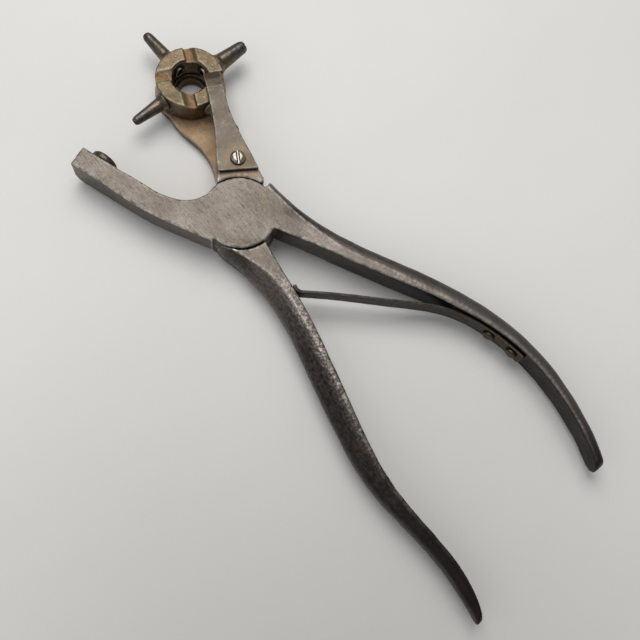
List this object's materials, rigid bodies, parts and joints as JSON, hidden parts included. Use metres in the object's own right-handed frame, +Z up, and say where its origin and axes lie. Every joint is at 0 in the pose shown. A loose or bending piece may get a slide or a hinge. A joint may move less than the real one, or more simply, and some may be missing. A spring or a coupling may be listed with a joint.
{
  "type": "rotary hole punch",
  "caption": "Hand pliers with a revolving turret of graduated cutting tubes and a padded anvil jaw, for punching round holes in leather.",
  "frame": {"origin": "pivot axis where it meets the plane that the tool rests on", "axes": "+X from the handles towards the jaws, +Y from the turret towards the anvil jaw, +Z up along the pivot axis"},
  "size_m": [0.2299, 0.0803, 0.0174],
  "materials": {
    "lever_steel": "worn dark patina, satin on the top faces",
    "ring_metal": "olive brown aged metal, rusty in the notches",
    "tube_steel": "dark gunmetal, brown at the foot",
    "leaf_steel": "grey brown satin with rust stains",
    "screw_steel": "bright worn nickel",
    "pad_metal": "tarnished, worn flat",
    "spring_steel": "grey, oiled"
  },
  "bodies": {
    "turret_lever": {"turret_lever": "lever_steel", "pivot_rivet": "lever_steel", "turret_hub": "ring_metal", "retaining_leaf": "leaf_steel", "leaf_screw": "screw_steel"},
    "anvil_lever": {"anvil_lever": "lever_steel", "anvil_pad": "pad_metal", "return_spring": "spring_steel", "spring_rivets": "spring_steel"},
    "turret": {"turret_ring": "ring_metal", "punch_tube_1": "tube_steel", "punch_tube_2": "tube_steel", "punch_tube_3": "tube_steel", "punch_tube_4": "tube_steel"}
  },
  "joints": [
    {"name": "jaw_pivot", "type": "hinge", "parent": "turret_lever", "child": "anvil_lever", "pos_m": [0, 0, 0.009], "axis": [0, 0, 1], "range_deg": [-18.7, 4.5], "stiffness_Nm_per_rad": 2.5, "deforming": ["return_spring"]},
    {"name": "turret_index", "type": "hinge", "parent": "turret_lever", "child": "turret", "pos_m": [0.0515, -0.0201, 0.009], "axis": [0, 0, 1], "continuous": true, "deforming": ["retaining_leaf"]}
  ]
}
